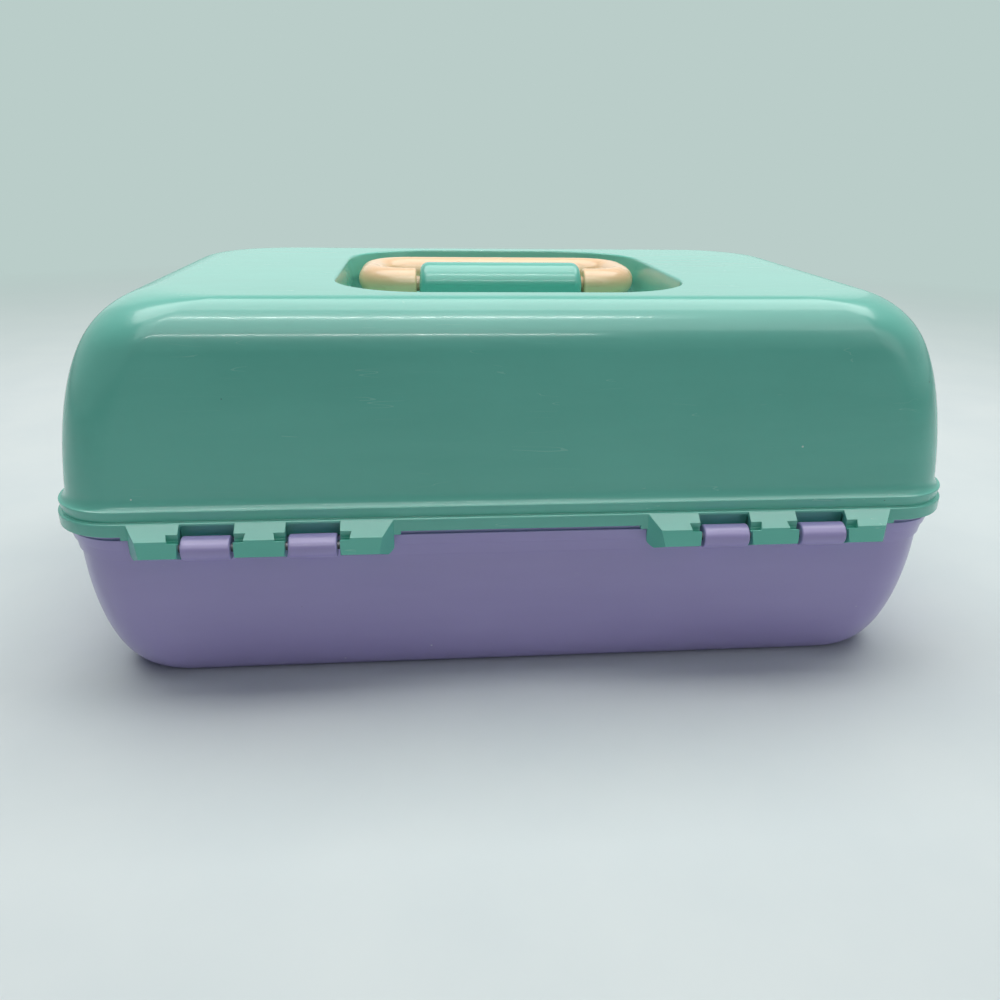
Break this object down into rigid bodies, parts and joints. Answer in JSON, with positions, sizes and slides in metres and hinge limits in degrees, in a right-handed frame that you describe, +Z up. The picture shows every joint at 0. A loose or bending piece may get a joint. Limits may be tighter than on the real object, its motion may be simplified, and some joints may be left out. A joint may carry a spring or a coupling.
{
  "type": "makeup storage case",
  "caption": "Hinged hard-shell makeup case with domed lid, fold-down handle in a top recess, front latches, lid mirror and stacked cantilever trays.",
  "frame": {"origin": "middle of the base's flat underside", "axes": "+Z up, -Y towards the latches, +Y towards the hinge, +X to the right seen from the latch side"},
  "size_m": [0.33, 0.2036, 0.1435],
  "materials": {
    "lid_plastic": "gloss moulded",
    "base_plastic": "gloss moulded",
    "peach_plastic": "gloss moulded",
    "steel": "bright drawn",
    "mirror": "silvered"
  },
  "bodies": {
    "base": {"base_shell": "base_plastic", "hinge_pin_left": "steel", "hinge_pin_right": "steel", "base_arm_pins": "steel"},
    "lid": {"lid_shell": "lid_plastic", "handle_block": "lid_plastic", "handle_screws": "steel", "latch_pin_left": "steel", "latch_pin_right": "steel", "mirror_frame": "lid_plastic", "mirror_glass": "mirror", "mirror_screws": "steel", "link_lid_pins": "steel"},
    "handle": {"handle": "peach_plastic"},
    "latch_left": {"latch_left": "peach_plastic"},
    "latch_right": {"latch_right": "peach_plastic"},
    "front_arms": {"arm_front_left": "peach_plastic", "arm_front_right": "peach_plastic"},
    "rear_arms": {"arm_rear_left": "peach_plastic", "arm_rear_right": "peach_plastic", "link_arm_pins": "steel"},
    "lift_links": {"lift_link_left": "peach_plastic", "lift_link_right": "peach_plastic"},
    "lower_tray": {"lower_tray": "lid_plastic", "lower_tray_pins": "steel", "divider_left": "peach_plastic", "divider_right": "peach_plastic"},
    "upper_tray": {"upper_tray": "lid_plastic", "upper_tray_pins": "steel"}
  },
  "joints": [
    {"name": "lid_hinge", "type": "hinge", "parent": "base", "child": "lid", "pos_m": [0, 0.098, 0.0608], "axis": [-1, 0, 0], "range_deg": [0, 105]},
    {"name": "handle_fold", "type": "hinge", "parent": "lid", "child": "handle", "pos_m": [0, -0.009, 0.1345], "axis": [-1, 0, 0], "range_deg": [0, 180]},
    {"name": "latch_left_swing", "type": "hinge", "parent": "lid", "child": "latch_left", "pos_m": [-0.088, -0.098, 0.0747], "axis": [-1, 0, 0], "range_deg": [0, 110]},
    {"name": "latch_right_swing", "type": "hinge", "parent": "lid", "child": "latch_right", "pos_m": [0.088, -0.098, 0.0747], "axis": [-1, 0, 0], "range_deg": [0, 110]},
    {"name": "front_arm_swing", "type": "hinge", "parent": "base", "child": "front_arms", "pos_m": [0, 0, 0.0314], "axis": [-1, 0, 0], "range_deg": [0, 88.1]},
    {"name": "rear_arm_swing", "type": "hinge", "parent": "base", "child": "rear_arms", "pos_m": [0, 0.04, 0.0314], "axis": [-1, 0, 0], "range_deg": [0, 88.1]},
    {"name": "lower_tray_level", "type": "hinge", "parent": "front_arms", "child": "lower_tray", "pos_m": [0, -0.03289, 0.04604], "axis": [-1, 0, 0], "range_deg": [-88.1, 0]},
    {"name": "upper_tray_level", "type": "hinge", "parent": "front_arms", "child": "upper_tray", "pos_m": [0, -0.06578, 0.06069], "axis": [-1, 0, 0], "range_deg": [-88.1, 0]},
    {"name": "lift_link_swing", "type": "hinge", "parent": "rear_arms", "child": "lift_links", "pos_m": [0, 0.01239, 0.04312], "axis": [-1, 0, 0], "range_deg": [-84, 0]}
  ],
  "couplings": [
    {"joint": "front_arm_swing", "follows": "lid_hinge", "ratio": 0.8381},
    {"joint": "rear_arm_swing", "follows": "lid_hinge", "ratio": 0.8381},
    {"joint": "lower_tray_level", "follows": "lid_hinge", "ratio": -0.8381},
    {"joint": "upper_tray_level", "follows": "lid_hinge", "ratio": -0.8381},
    {"joint": "lift_link_swing", "follows": "lid_hinge", "ratio": -0.79436}
  ]
}
